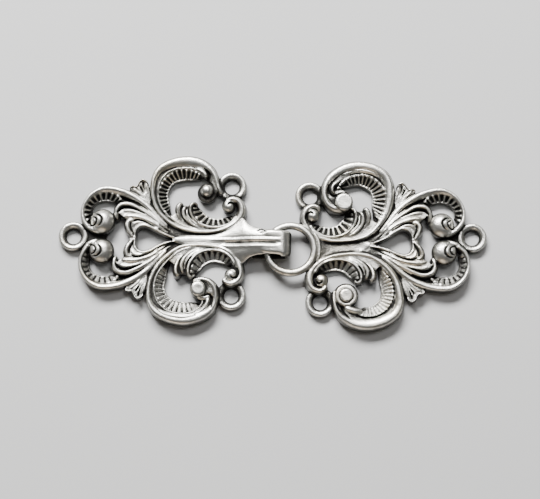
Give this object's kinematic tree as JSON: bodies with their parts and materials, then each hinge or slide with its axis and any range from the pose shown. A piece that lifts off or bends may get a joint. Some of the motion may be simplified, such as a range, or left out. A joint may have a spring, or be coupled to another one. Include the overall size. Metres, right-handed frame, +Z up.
{
  "type": "cloak clasp",
  "caption": "Two-part cast cloak clasp in antique silver scrollwork, a flat hook passed over the ring of its mirrored partner.",
  "frame": {"origin": "centre of the bounding box at the flat back, on the surface that the clasp lies on", "axes": "+X from the hook half to the eye half, along the clasp; +Y across it; +Z up, away from the flat back"},
  "size_m": [0.076, 0.0316, 0.0042],
  "materials": {
    "antique_silver": "antique silver plate, polished on the raised work and dark in the recesses"
  },
  "bodies": {
    "root": {"hook_half": "antique_silver", "eye_half": "antique_silver"}
  },
  "joints": []
}
